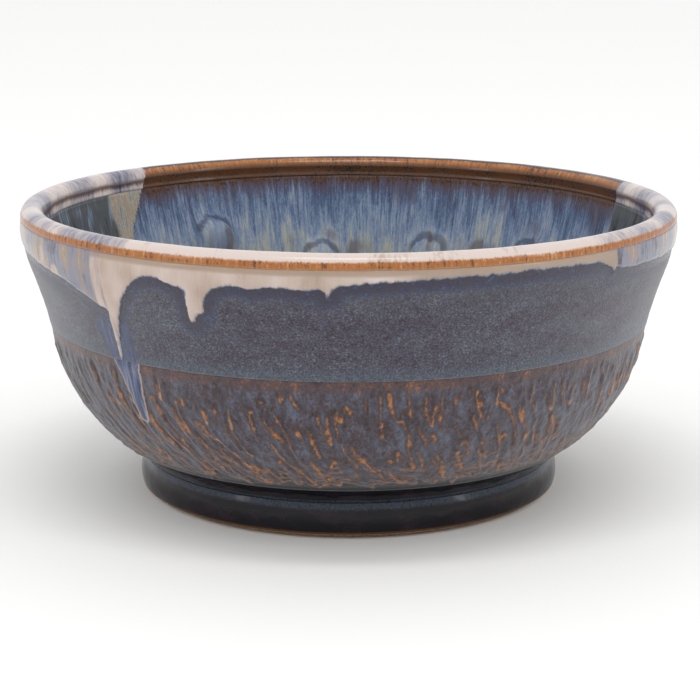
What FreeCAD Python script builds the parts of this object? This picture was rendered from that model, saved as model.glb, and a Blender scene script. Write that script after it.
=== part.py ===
import FreeCAD, Part
import math
import os
from collections import namedtuple

import Sketcher

# A hand-thrown stoneware lather bowl: a thrown clay body luted to a turned foot ring, a ring
# of clay knobs inside, and the coats of glaze and slip that are fired onto them.  Every piece
# is turned about the Z axis.  The origin is the centre of the foot's resting plane and +Z is
# up.  The front of the bowl, where the glaze ran, faces -Y.  Millimetres and degrees.

SHEET = "Dims"
DERIVED = "Worked_out"

DIMENSIONS = {
    # clay body, outside
    "rim_radius": 70.0,          # widest radius of the lip, over its glaze
    "bowl_height": 62.0,         # resting plane to the crest of the lip, over its glaze
    "lip_rise": 1.9,             # crest above the widest part of the lip
    "flare_radius": 31.0,        # outward curve under the lip
    "flare_angle": 20.5,         # wall's lean where the flare meets the waist
    "waist_radius": 112.0,       # shallow hollow at mid height
    "waist_angle": 12.0,         # wall's lean where the waist meets the belly
    "belly_lean": 53.0,          # wall's lean where the belly meets the hollow above the foot
    "neck_overhang": 4.9,        # belly beyond the top of the foot ring
    "neck_rise": 3.9,            # height of the hollow between foot ring and belly
    "neck_bend": 0.95,           # curve of that hollow, as its radius over its chord
    # clay body, inside
    "wall": 4.0,                 # clay wall, measured level
    "floor": 5.4,                # clay floor
    # foot ring
    "foot_height": 7.6,
    "foot_width": 6.6,           # ring's width where it meets the body
    "foot_curve": 9.5,           # radius of the ring's rounded outer face
    "bare_edge": 1.1,            # unglazed clay at the ring's bottom edge
    "bare_flare": 0.65,          # ring's outer face at the bare edge, beyond its top
    "foot_chamfer": 1.7,         # how far the bare edge leans in to the resting plane
    "foot_corner": 2.2,          # radius of the bare edge
    # coats
    "glaze": 0.5,                # glaze, measured level
    "liner": 0.4,                # glaze inside the bowl
    "slip": 0.8,                 # textured slip, measured level
    "neck_pool": 0.7,            # glaze pooled in the hollow above the foot ring
    "run": 0.4,                  # runs of lip glaze that lie on the band
    "slip_depth": 26.0,          # height of the slip above the hollow
    "band_drop": 3.8,            # matte band's upper edge below the widest part of the lip
    "collar_drop": 0.7,          # cream collar's upper edge below the widest part of the lip
    "liner_drop": 2.7,           # liner's upper edge below the widest part of the lip
    # knobs inside the bowl
    "knob_drop": 24.6,           # a knob's middle below the widest part of the lip
    "knob_rise": 3.2,            # how far a knob stands out of the clay wall
    "knob_breadth": 12.0,
    "knob_length": 14.0,
}

# The knobs were set by eye: each one's lift above the common height, the first at KNOB_START
# from +X towards +Y and the rest evenly round.
KNOB_START = 70.9
KNOB_LIFTS = (0.6, -1.2, 6.2, 0.8, -0.5, 1.5, 0.2, -1.4, 2.0, 0.4, -0.8, 1.1, -0.2, 1.7)

# Run: one run of cream glaze.  Direction from +X towards +Y, breadth at its top and at its
# tip, and length.  One with no length reaches the lower edge of the coat that it lies on.
Run = namedtuple("Run", "direction top tip length")
BAND_RUNS = (
    Run(-115.7, 9.0, 1.6, 7.8),
    Run(-93.3, 4.0, 1.0, 1.6),
    Run(-132.4, 6.0, 1.4, None),
    Run(-41.8, 3.4, 0.8, 1.8),
)
SLIP_RUNS = (Run(-132.2, 4.5, 1.0, 11.0),)

SLACK = 1.0                      # how far a cutting solid reaches past what it cuts


class Size:
    """A number, and the sheet expression that gives the same number."""

    def __init__(self, number, text=None):
        self.number = float(number)
        self.text = text or repr(float(number))

    def __add__(self, other):
        other = as_size(other)
        return Size(self.number + other.number, f"({self.text} + {other.text})")

    def __sub__(self, other):
        other = as_size(other)
        return Size(self.number - other.number, f"({self.text} - {other.text})")

    def __mul__(self, other):
        other = as_size(other)
        return Size(self.number * other.number, f"({self.text} * {other.text})")

    def __truediv__(self, other):
        other = as_size(other)
        return Size(self.number / other.number, f"({self.text} / {other.text})")


def as_size(value):
    return value if isinstance(value, Size) else Size(value)


def root(size):
    return Size(math.sqrt(size.number), f"sqrt({size.text})")


def cosine(size):
    return Size(math.cos(math.radians(size.number)), f"cos({size.text} * 1deg)")


def sine(size):
    return Size(math.sin(math.radians(size.number)), f"sin({size.text} * 1deg)")


doc = FreeCAD.newDocument("lather_bowl")


def make_sheet():
    """The spreadsheet of driving dimensions, and each as a Size by its alias."""
    sheet = doc.addObject("Spreadsheet::Sheet", SHEET)
    sizes = {}
    for row, (alias, value) in enumerate(DIMENSIONS.items(), start=1):
        sheet.set(f"A{row}", alias)
        sheet.set(f"B{row}", str(value))
        sheet.setAlias(f"B{row}", alias)
        sizes[alias] = Size(value, f"{SHEET}.{alias}")
    doc.recompute()
    return sizes


dim = make_sheet()
worked_out = doc.addObject("App::VarSet", DERIVED)


def keep(name, size):
    """Store a worked-out size under its own name, and return it as a short reference."""
    worked_out.addProperty("App::PropertyFloat", name)
    worked_out.setExpression(name, size.text)
    return Size(size.number, f"{DERIVED}.{name}")


# Corner: a point of an outline at radius x and height z.  The edge to the next corner is
# straight, or an arc of radius bend with its centre on the left or right of the way.
Corner = namedtuple("Corner", "x z bend side", defaults=(None, None))
LEFT, RIGHT = 1, -1

# WallArc: one arc of the bowl's wall, from its top height down, with its centre inside the
# bowl (side 1) or outside it (side -1).
WallArc = namedtuple("WallArc", "x z radius side top bottom")


def wall_radius(arcs, height):
    """The wall's radius at a height."""
    arc = next((one for one in arcs if height.number >= one.bottom.number), arcs[-1])
    rise = height - arc.z
    reach = root(arc.radius * arc.radius - rise * rise)
    return arc.x + reach if arc.side > 0 else arc.x - reach


def wall_path(arcs, bottom, top, shift):
    """Corners up the wall from one height to another, moved level by shift.

    The last corner has no bend, so that the caller chooses how the outline goes on."""
    inner = [arc for arc in arcs if arc.top.number > bottom.number and arc.bottom.number < top.number]
    inner.reverse()
    corners = []
    for arc in inner:
        low = arc.bottom if arc.bottom.number > bottom.number else bottom
        side = LEFT if arc.side > 0 else RIGHT
        corners.append(Corner(wall_radius([arc], low) + shift, low, arc.radius, side))
    corners.append(Corner(wall_radius(inner[-1:], top) + shift, top))
    return corners


def reversed_path(corners):
    """The same corners walked the other way."""
    back = []
    for index in range(len(corners) - 1, -1, -1):
        here = corners[index]
        before = corners[index - 1] if index else None
        if before is None or before.bend is None:
            back.append(Corner(here.x, here.z))
        else:
            back.append(Corner(here.x, here.z, before.bend, -before.side))
    return back


def wall_arcs():
    """The clay body's outer wall: flare, waist and belly, each tangent to the next."""
    widest = keep("widest_height", dim["bowl_height"] - dim["lip_rise"])
    clay_rim = keep("clay_rim_radius", dim["rim_radius"] - dim["glaze"])
    flare_x = keep("flare_x", clay_rim - dim["flare_radius"])
    lean_top, lean_low = dim["flare_angle"], dim["waist_angle"]
    waist_top = keep("waist_top", widest - dim["flare_radius"] * sine(lean_top))
    waist_x = keep("waist_x", flare_x + (dim["flare_radius"] + dim["waist_radius"]) * cosine(lean_top))
    waist_z = keep("waist_z", waist_top - dim["waist_radius"] * sine(lean_top))
    belly_top = keep("belly_top", waist_z + dim["waist_radius"] * sine(lean_low))
    belly_top_x = keep("belly_top_x", waist_x - dim["waist_radius"] * cosine(lean_low))
    # The belly's arc leaves the waist at belly_top and ends over the hollow above the foot.
    neck_z = keep("neck_height", dim["foot_height"] + dim["neck_rise"])
    turn = sine(dim["belly_lean"]) - sine(lean_low)
    belly_radius = keep("belly_radius", (belly_top - neck_z) / turn)
    belly_x = keep("belly_x", belly_top_x - belly_radius * cosine(lean_low))
    belly_z = keep("belly_z", belly_top + belly_radius * sine(lean_low))
    return [
        WallArc(flare_x, widest, dim["flare_radius"], 1, widest, waist_top),
        WallArc(waist_x, waist_z, dim["waist_radius"], -1, waist_top, belly_top),
        WallArc(belly_x, belly_z, belly_radius, 1, belly_top, neck_z),
    ]


def inner_arcs(outer):
    """The clay body's inner wall: flare and waist follow the outer wall, and the belly's arc
    runs level into the flat floor."""
    flare, waist, _ = outer
    floor_top = keep("floor_top", dim["foot_height"] + dim["floor"])
    lean = dim["waist_angle"]
    corner = keep("floor_corner", (waist.bottom - floor_top) / (as_size(1) - sine(lean)))
    corner_x = keep("floor_flat_radius",
                    waist.x - waist.radius * cosine(lean) - dim["wall"] - corner * cosine(lean))
    corner_z = keep("floor_corner_height", floor_top + corner)
    return [
        flare._replace(x=flare.x - dim["wall"]),
        waist._replace(x=waist.x - dim["wall"]),
        WallArc(corner_x, corner_z, corner, 1, waist.bottom, floor_top),
    ]


def arc_between(start, end, radius, side):
    """The arc's circle centre and its two angles, as a sketch arc runs: anticlockwise."""
    chord = end - start
    half = chord.Length / 2
    across = FreeCAD.Vector(-chord.y, chord.x, 0) / chord.Length * side
    centre = start + chord / 2 + across * math.sqrt(max(radius * radius - half * half, 0.0))
    first, last = (start, end) if side == LEFT else (end, start)
    angles = [math.atan2(point.y - centre.y, point.x - centre.x) for point in (first, last)]
    circle = Part.Circle(centre, FreeCAD.Vector(0, 0, 1), radius)
    return Part.ArcOfCircle(circle, angles[0], angles[1])


def hold_point(sketch, geometry, point, corner):
    """Place one point of a sketch at a corner's radius and height."""
    for name, size, axis in (("DistanceX", corner.x, -2), ("DistanceY", corner.z, -1)):
        if size.number == 0:
            sketch.addConstraint(Sketcher.Constraint("PointOnObject", geometry, point, axis))
            continue
        number = sketch.addConstraint(
            Sketcher.Constraint(name, -1, 1, geometry, point, size.number))
        sketch.setExpression(f"Constraints[{number}]", size.text)


def draw_outline(sketch, corners):
    """A closed outline through the corners, every point and radius tied to the sheet."""
    ends = []
    for index, corner in enumerate(corners):
        after = corners[(index + 1) % len(corners)]
        start = FreeCAD.Vector(corner.x.number, corner.z.number, 0)
        end = FreeCAD.Vector(after.x.number, after.z.number, 0)
        if corner.bend is None:
            geometry = sketch.addGeometry(Part.LineSegment(start, end), False)
            ends.append((geometry, 1, 2))
        else:
            arc = arc_between(start, end, corner.bend.number, corner.side)
            geometry = sketch.addGeometry(arc, False)
            ends.append((geometry, 1, 2) if corner.side == LEFT else (geometry, 2, 1))
    for index, corner in enumerate(corners):
        geometry, start_point, end_point = ends[index]
        next_geometry, next_start, _ = ends[(index + 1) % len(ends)]
        sketch.addConstraint(
            Sketcher.Constraint("Coincident", geometry, end_point, next_geometry, next_start))
        hold_point(sketch, geometry, start_point, corner)
        if corner.bend is not None:
            number = sketch.addConstraint(
                Sketcher.Constraint("Radius", geometry, corner.bend.number))
            sketch.setExpression(f"Constraints[{number}]", corner.bend.text)


def turned(label, corners):
    """A body turned about Z from an outline in the XZ plane."""
    body = doc.addObject("PartDesign::Body", label)
    sketch = body.newObject("Sketcher::SketchObject", label + "_outline")
    plane = next(one for one in body.Origin.OriginFeatures if one.Role == "XZ_Plane")
    sketch.AttachmentSupport = (plane, [""])
    sketch.MapMode = "FlatFace"
    draw_outline(sketch, corners)
    doc.recompute()
    turn = body.newObject("PartDesign::Revolution", label + "_turn")
    turn.Profile = (sketch, [""])
    turn.ReferenceAxis = (sketch, ["V_Axis"])
    turn.Angle = 360.0
    sketch.Visibility = False
    doc.recompute()
    return body


outer_wall = wall_arcs()
inner_wall = inner_arcs(outer_wall)
zero = as_size(0)
widest_height = outer_wall[0].top
neck_height = outer_wall[-1].bottom
floor_height = inner_wall[-1].bottom
neck_reach = keep("neck_reach", wall_radius(outer_wall, neck_height))
foot_radius = keep("foot_radius", neck_reach - dim["neck_overhang"])
clay_crest = keep("clay_crest", dim["bowl_height"] - dim["glaze"])
crest_radius = keep("crest_radius", dim["rim_radius"] - dim["glaze"] - dim["wall"] / 2)
lip_round = keep("lip_round", dim["wall"] / 2)
neck_chord = root(dim["neck_overhang"] * dim["neck_overhang"] + dim["neck_rise"] * dim["neck_rise"])
neck_curve = keep("neck_curve", neck_chord * dim["neck_bend"])
foot_inside = keep("foot_inside", foot_radius - dim["foot_width"])
bare_radius = keep("bare_radius", foot_radius + dim["bare_flare"])
slip_top = keep("slip_top", neck_height + dim["slip_depth"])
band_top = keep("band_top", widest_height - dim["band_drop"])
collar_top = keep("collar_top", widest_height - dim["collar_drop"])
liner_top = keep("liner_top", widest_height - dim["liner_drop"])
knob_height = keep("knob_height", widest_height - dim["knob_drop"])


def clay_body():
    """The thrown bowl: floor, wall and rounded lip in one piece of clay."""
    outside = wall_path(outer_wall, neck_height, widest_height, zero)
    inside = reversed_path(wall_path(inner_wall, floor_height, widest_height, zero))
    outside[-1] = outside[-1]._replace(bend=lip_round, side=LEFT)
    return turned("clay_body", [
        Corner(zero, dim["foot_height"]),
        Corner(foot_radius, dim["foot_height"], neck_curve, RIGHT),
        *outside,
        Corner(crest_radius, clay_crest, lip_round, LEFT),
        *inside,
        Corner(zero, floor_height),
    ])


def foot_ring():
    """The turned ring under the body, rounded outside, straight inside and bare below."""
    return turned("foot_ring", [
        Corner(foot_inside, zero),
        Corner(bare_radius - dim["foot_chamfer"], zero, dim["foot_corner"], LEFT),
        Corner(bare_radius, dim["bare_edge"], dim["foot_curve"], LEFT),
        Corner(foot_radius, dim["foot_height"]),
        Corner(foot_inside, dim["foot_height"]),
    ])


def wall_coat(label, bottom, top, thickness, base=zero):
    """A coat on the outer wall between two heights, lying on the clay or on another coat."""
    below = wall_path(outer_wall, bottom, top, base)
    above = wall_path(outer_wall, bottom, top, base + thickness)
    return turned(label, [*above, *reversed_path(below)])


def lip_glaze():
    """The glaze over the lip, from the collar outside to the liner inside."""
    glaze, liner = dim["glaze"], dim["liner"]
    outer = wall_path(outer_wall, collar_top, widest_height, glaze)
    outer[-1] = outer[-1]._replace(bend=lip_round + glaze, side=LEFT)
    inner = reversed_path(wall_path(inner_wall, liner_top, widest_height, zero - liner))
    clay_in = wall_path(inner_wall, liner_top, widest_height, zero)
    clay_in[-1] = clay_in[-1]._replace(bend=lip_round, side=RIGHT)
    clay_out = reversed_path(wall_path(outer_wall, collar_top, widest_height, zero))
    return turned("lip_glaze", [
        *outer,
        Corner(crest_radius, dim["bowl_height"], lip_round + glaze, LEFT),
        *inner,
        *clay_in,
        Corner(crest_radius, clay_crest, lip_round, RIGHT),
        *clay_out,
    ])


def neck_glaze():
    """Dark glaze pooled in the hollow between the foot ring and the belly."""
    pool = dim["neck_pool"]
    return turned("neck_glaze", [
        Corner(foot_radius + pool, dim["foot_height"], neck_curve, RIGHT),
        Corner(neck_reach + pool, neck_height),
        Corner(neck_reach, neck_height, neck_curve, LEFT),
        Corner(foot_radius, dim["foot_height"]),
    ])


def foot_glaze():
    """Glaze on the foot ring's outer face, above its bare edge."""
    glaze = dim["glaze"]
    return turned("foot_glaze", [
        Corner(bare_radius + glaze, dim["bare_edge"], dim["foot_curve"], LEFT),
        Corner(foot_radius + glaze, dim["foot_height"]),
        Corner(foot_radius, dim["foot_height"], dim["foot_curve"], RIGHT),
        Corner(bare_radius, dim["bare_edge"]),
    ])


def recess_glaze():
    """Glaze on the body's underside, inside the foot ring."""
    low = dim["foot_height"] - dim["glaze"]
    return turned("recess_glaze", [
        Corner(zero, low),
        Corner(foot_inside, low),
        Corner(foot_inside, dim["foot_height"]),
        Corner(zero, dim["foot_height"]),
    ])


def liner_blank():
    """The glaze lining the bowl, before the knobs take their places from it."""
    liner = dim["liner"]
    flare, waist, corner = inner_wall
    # The lining is as thick on the floor as on the wall, so the corner's arc is smaller.
    lined = [
        flare._replace(x=flare.x - liner),
        waist._replace(x=waist.x - liner),
        corner._replace(radius=corner.radius - liner, bottom=floor_height + liner),
    ]
    clay_side = wall_path(inner_wall, floor_height, liner_top, zero)
    face = wall_path(lined, floor_height + liner, liner_top, zero)
    return turned("liner_blank", [
        Corner(zero, floor_height),
        *clay_side,
        *reversed_path(face),
        Corner(zero, floor_height + liner),
    ])


def lather_knobs(clay):
    """The ring of clay knobs pressed onto the inner wall."""
    blanks = []
    for index, lift in enumerate(KNOB_LIFTS):
        height = keep(f"knob_height_{index + 1}", knob_height + lift)
        reach = keep(f"knob_reach_{index + 1}", wall_radius(inner_wall, height))
        angle = KNOB_START + index * 360.0 / len(KNOB_LIFTS)
        blank = doc.addObject("Part::Ellipsoid", f"knob_blank_{index + 1}")
        blank.Angle1, blank.Angle2, blank.Angle3 = -90.0, 90.0, 360.0
        blank.setExpression("Radius1", (dim["knob_length"] / 2).text)
        blank.setExpression("Radius2", dim["knob_rise"].text)
        blank.setExpression("Radius3", (dim["knob_breadth"] / 2).text)
        blank.Placement.Rotation = FreeCAD.Rotation(FreeCAD.Vector(0, 0, 1), angle)
        blank.setExpression("Placement.Base.x", (reach * cosine(as_size(angle))).text)
        blank.setExpression("Placement.Base.y", (reach * sine(as_size(angle))).text)
        blank.setExpression("Placement.Base.z", height.text)
        blanks.append(blank)
    ring = doc.addObject("Part::Compound", "knob_blanks")
    ring.Links = blanks
    knobs = doc.addObject("Part::Cut", "lather_knobs")
    knobs.Base, knobs.Tool = ring, clay
    doc.recompute()
    return knobs


def inner_glaze(knobs):
    """The lining, with each knob standing through it."""
    lining = doc.addObject("Part::Cut", "inner_glaze")
    lining.Base, lining.Tool = liner_blank(), knobs
    doc.recompute()
    return lining


def laid_runs(label, bottom, top, runs, base):
    """Tapered runs of glaze on the coat of thickness base that lies between two heights."""
    skin = wall_coat(label + "_skin", bottom, top, dim["run"], base)
    wedges = []
    for number, run in enumerate(runs, start=1):
        length = as_size(run.length) if run.length else top - bottom
        # The wedge's own Y axis runs down the wall and its Z axis points out of the bowl.
        wedge = doc.addObject("Part::Wedge", f"{label}_wedge_{number}")
        wedge.Xmin, wedge.Xmax = -run.top / 2, run.top / 2
        wedge.X2min, wedge.X2max = -run.tip / 2, run.tip / 2
        wedge.Ymin, wedge.Zmin, wedge.Z2min = 0.0, 0.0, 0.0
        wedge.setExpression("Ymax", length.text)
        reach = dim["rim_radius"] + SLACK
        wedge.setExpression("Zmax", reach.text)
        wedge.setExpression("Z2max", reach.text)
        downward = FreeCAD.Rotation(FreeCAD.Vector(1, 0, 0), -90)
        outward = FreeCAD.Rotation(FreeCAD.Vector(0, 0, 1), run.direction - 90)
        wedge.Placement.Rotation = outward.multiply(downward)
        wedge.setExpression("Placement.Base.z", top.text)
        wedges.append(wedge)
    tongues = doc.addObject("Part::Compound", label + "_tongues")
    tongues.Links = wedges
    laid = doc.addObject("Part::Common", label)
    laid.Base, laid.Tool = skin, tongues
    return laid


def glaze_runs():
    """The lip's cream glaze where it ran down over the matte band, and on over the slip."""
    runs = doc.addObject("Part::Compound", "glaze_runs")
    runs.Links = [
        laid_runs("band_runs", slip_top, band_top, BAND_RUNS, dim["glaze"]),
        laid_runs("slip_runs", neck_height, slip_top, SLIP_RUNS, dim["slip"]),
    ]
    doc.recompute()
    return runs


def check(parts):
    """Stop unless every object worked out and every piece is a sound solid."""
    for obj in doc.Objects:
        if "Invalid" in obj.State or "Error" in obj.State:
            raise RuntimeError(f"{obj.Label} failed: {obj.State}")
    for part in parts:
        shape = part.Shape
        if shape.isNull() or not shape.isValid() or not shape.Solids:
            raise RuntimeError(f"{part.Label} is not a sound solid")


def build():
    clay = clay_body()
    knobs = lather_knobs(clay)
    return [
        clay,
        foot_ring(),
        knobs,
        inner_glaze(knobs),
        lip_glaze(),
        wall_coat("collar_glaze", band_top, collar_top, dim["glaze"]),
        glaze_runs(),
        wall_coat("band_glaze", slip_top, band_top, dim["glaze"]),
        wall_coat("bark_slip", neck_height, slip_top, dim["slip"]),
        neck_glaze(),
        foot_glaze(),
        recess_glaze(),
    ]


parts = build()
doc.recompute()
check(parts)
os.makedirs("parts", exist_ok=True)
for part in parts:
    part.Shape.exportStep(os.path.join("parts", part.Label + ".step"))
    box = part.Shape.optimalBoundingBox(False)
    print(f"{part.Label:14s} solids {len(part.Shape.Solids):2d}  volume {part.Shape.Volume:9.1f}"
          f"  z {box.ZMin:6.2f} to {box.ZMax:6.2f}  radius {box.XMax:6.2f}")
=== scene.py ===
"""Glazes a hand-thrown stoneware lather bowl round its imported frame.

Every coat is a turned ring.  Its section is drawn on the faces of the frame's own nodes, spun
round the bowl's axis, and then worked along its normals: the runs of the cream glaze, the bark
of the textured slip, the knobs under the lining.  Working lengths are millimetres, and meshes
are metres.  Directions are degrees round the bowl from its front, -Y, towards +X.
"""

import math
from collections import namedtuple

import bpy
import numpy as np
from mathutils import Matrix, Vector, noise
from mathutils.bvhtree import BVHTree


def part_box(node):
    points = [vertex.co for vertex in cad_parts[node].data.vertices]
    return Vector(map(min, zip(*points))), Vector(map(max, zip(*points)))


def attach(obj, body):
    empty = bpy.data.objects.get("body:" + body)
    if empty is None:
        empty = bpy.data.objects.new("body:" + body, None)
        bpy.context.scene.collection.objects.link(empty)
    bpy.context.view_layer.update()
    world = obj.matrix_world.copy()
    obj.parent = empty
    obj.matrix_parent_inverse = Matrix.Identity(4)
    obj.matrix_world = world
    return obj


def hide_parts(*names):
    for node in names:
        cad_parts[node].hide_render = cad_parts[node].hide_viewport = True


bl_info = {
    "name": "Lather bowl",
    "version": (1, 0, 0),
    "blender": (4, 5, 0),
    "location": "3D View > Sidebar > Lather bowl",
    "description": "Models and glazes a hand-thrown lather bowl round its packed frame",
    "category": "Object",
}

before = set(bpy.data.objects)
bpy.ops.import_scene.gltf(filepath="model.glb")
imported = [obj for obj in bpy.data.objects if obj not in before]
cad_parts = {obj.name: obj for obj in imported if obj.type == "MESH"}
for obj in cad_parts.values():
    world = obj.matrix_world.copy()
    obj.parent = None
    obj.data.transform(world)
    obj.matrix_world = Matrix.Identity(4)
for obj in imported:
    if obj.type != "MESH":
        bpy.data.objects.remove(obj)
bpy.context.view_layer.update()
MM = 0.001
FLOW_RADIUS = 60.0   # millimetres: the radius that a streak's breadth is measured at
CLAY_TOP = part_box("clay_body")[1].z / MM
LINER_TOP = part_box("inner_glaze")[1].z / MM
BARK_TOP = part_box("bark_slip")[1].z / MM
BARK_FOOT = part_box("bark_slip")[0].z / MM
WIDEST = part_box("lip_glaze")[1].x / MM
COLLAR_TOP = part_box("collar_glaze")[1].z / MM


# ---------------------------------------------------------------- sizes and colours


def linear(hexes):
    """An sRGB hex colour as the linear colour that Blender works in."""
    parts = [int(hexes[k:k + 2], 16) / 255 for k in (1, 3, 5)]
    return [p / 12.92 if p <= 0.04045 else ((p + 0.055) / 1.055) ** 2.4 for p in parts] + [1.0]


def size(name, millimetres, description):
    return bpy.props.FloatProperty(
        name=name, default=millimetres * MM, description=description,
        unit="LENGTH", subtype="DISTANCE",
    )


def colour(name, hexes, description):
    return bpy.props.FloatVectorProperty(
        name=name, default=linear(hexes), description=description,
        size=4, min=0.0, max=1.0, subtype="COLOR",
    )


class BowlSizes(bpy.types.PropertyGroup):
    """Sizes of the glazes and of the marks in them."""

    cream_rise: size("Cream rise", 0.32, "How far the cream glaze stands over the band")
    bark_rise: size("Bark rise", 0.55, "Height of the bark's ridges over its ground")
    ridge_width: size("Ridge width", 0.54, "Breadth of one ridge of the bark")
    ridge_gap: size("Ridge gap", 1.5, "Distance between the bark's ridges, round the bowl")
    ridge_length: size("Ridge length", 9.5, "Length of the bark's long ridges")
    crack_depth: size("Crack depth", 0.45, "Depth of the cracks in the bark's lower edge")
    streak_width: size("Streak width", 0.55, "Breadth of one streak in the floating glaze")
    streak_length: size("Streak length", 7.0, "Length of one streak in the floating glaze")
    speckle: size("Speckle", 0.34, "Size of the crystals that speckle the matte band")
    wobble: size("Wobble", 0.06, "How far the potter's hand leaves the lip uneven")


class GlazeColours(bpy.types.PropertyGroup):
    """Colours of the fired glazes and of the clay."""

    cream: colour("Cream", "#b5a094", "Cream glaze where it lies thick")
    cream_thin: colour("Thin cream", "#94806c", "Cream glaze where the band shows through")
    crest: colour("Crest", "#cfc1ba", "Glaze on the crest of the lip")
    caramel: colour("Caramel", "#a2622a", "Iron that breaks through on the lip's edge")
    caramel_light: colour("Light caramel", "#b98a5c", "The same where it lies thinnest")
    caramel_dark: colour("Dark caramel", "#5c3418", "Darker spots of the same")
    halo: colour("Halo", "#262b42", "Dark line below the cream glaze")
    halo_plum: colour("Halo plum", "#352c38", "Plum patches of that line")
    halo_light: colour("Halo blue", "#3f4a68", "Blue flush below the dark line")
    slate: colour("Slate", "#3c4056", "Slate blue crystals of the band")
    plum: colour("Plum", "#402f3c", "Plum brown ground of the band")
    moss: colour("Moss", "#4a4e52", "Grey green crystals of the band")
    pale: colour("Pale crystal", "#6e7484", "The palest crystals of the band")
    teal: colour("Teal", "#3d4a56", "Line along the band's lower edge")
    lavender: colour("Lavender", "#7f7d8c", "Lavender streaks beside the cream glaze")
    bark_slate: colour("Bark slate", "#494d5e", "Ground of the bark")
    bark_plum: colour("Bark plum", "#48363a", "Brown patches of the bark")
    bark_pale: colour("Bark pale", "#626878", "Palest blue of the bark")
    bark_ridge: colour("Bark ridge", "#a46a3a", "Iron on the bark's ridges")
    # Darkest speckle of several glazes, and also painted shadow: the bark's cracks and the glaze
    # beside each ridge are painted this dark.
    bark_dark_and_shadow: colour("Bark shadow", "#16131a", "Cracks, and the glaze beside a ridge")
    rivulet: colour("Rivulet", "#374a76", "Blue glaze that ran over the bark")
    foot_dark: colour("Foot", "#140f14", "Dark glaze of the foot")
    foot_plum: colour("Foot plum", "#221820", "Plum patches of the foot")
    foot_blue: colour("Foot blue", "#333a47", "Bluish edge of the dark glaze")
    neck_dark: colour("Neck", "#0d0b11", "Glaze pooled in the neck")
    clay: colour("Clay", "#8a6848", "Bare stoneware")
    liner_brown: colour("Liner brown", "#51331a", "Lining where it broke over the lip")
    liner_deep: colour("Liner navy", "#1d2440", "Darkest blue of the lining")
    liner_dusk: colour("Liner dusk", "#3d3d50", "Dusky blue below the brown")
    liner_mid: colour("Liner blue", "#4d6080", "Middle blue of the lining")
    liner_light: colour("Liner light", "#7888a0", "Light blue of the lining")
    liner_cream: colour("Liner cream", "#a0a196", "Cream streaks of the lining")
    liner_plum: colour("Liner plum", "#4c4352", "Plum patches of the lining")
    floor: colour("Floor", "#f6f6f5", "Studio floor")


# ---------------------------------------------------------------- turned pieces


Section = namedtuple("Section", "r z path normal_r normal_z closed")


def face_line(nodes, pole, inward=False, lowest=-math.inf, highest=math.inf):
    """Corners (r, z) of the nodes' faces that look away from a pole, in order round it."""
    corners = set()
    for node in nodes:
        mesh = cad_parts[node].data
        for face in mesh.polygons:
            centre = face.center / MM
            reach = math.hypot(centre.x, centre.y)
            normal_r = (centre.x * face.normal.x + centre.y * face.normal.y) / max(reach, 1e-6)
            away = Vector((reach - pole[0], centre.z - pole[1])).normalized()
            facing = away.dot(Vector((normal_r, face.normal.z)))
            if (-facing if inward else facing) < 0.5:
                continue
            for index in face.vertices:
                place = mesh.vertices[index].co / MM
                if lowest <= place.z <= highest:
                    corners.add((round(math.hypot(place.x, place.y), 3), round(place.z, 3)))

    def turn_from_below(corner):
        angle = math.atan2(corner[1] - pole[1], corner[0] - pole[0])
        return (angle + math.pi / 2 + 1e-9) % math.tau

    line = []
    for corner in sorted(corners, key=turn_from_below):
        if not line or math.dist(corner, line[-1]) > 0.05:
            line.append(corner)
    return line


def section_of(corners, step, inward=False, closed=False):
    """The curve through the corners, as points a step apart with their outward normals."""
    corners = np.array(corners + corners[:1] if closed else corners, float)
    gaps = np.hypot(*np.diff(corners, axis=0).T)
    along = np.concatenate(([0.0], np.cumsum(gaps)))
    count = max(3, round(along[-1] / step) + 1)
    path = np.linspace(0.0, along[-1], count)
    if closed:
        line = np.stack([np.interp(path, along, corners[:, k]) for k in (0, 1)], axis=1)
    else:
        slopes = np.gradient(corners, along, axis=0, edge_order=min(2, len(corners) - 1))
        span = np.clip(np.searchsorted(along, path, side="right") - 1, 0, len(gaps) - 1)
        width = gaps[span][:, None]
        t = ((path - along[span]) / gaps[span])[:, None]
        line = (
            (2 * t**3 - 3 * t**2 + 1) * corners[span]
            + (t**3 - 2 * t**2 + t) * width * slopes[span]
            + (3 * t**2 - 2 * t**3) * corners[span + 1]
            + (t**3 - t**2) * width * slopes[span + 1]
        )
    run = np.gradient(line, path, axis=0)
    run /= np.hypot(run[:, 0], run[:, 1])[:, None] * (-1 if inward else 1)
    if closed:
        line, path, run = line[:-1], path[:-1], run[:-1]
    return Section(line[:, 0], line[:, 1], path, run[:, 1], -run[:, 0], closed)


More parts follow.
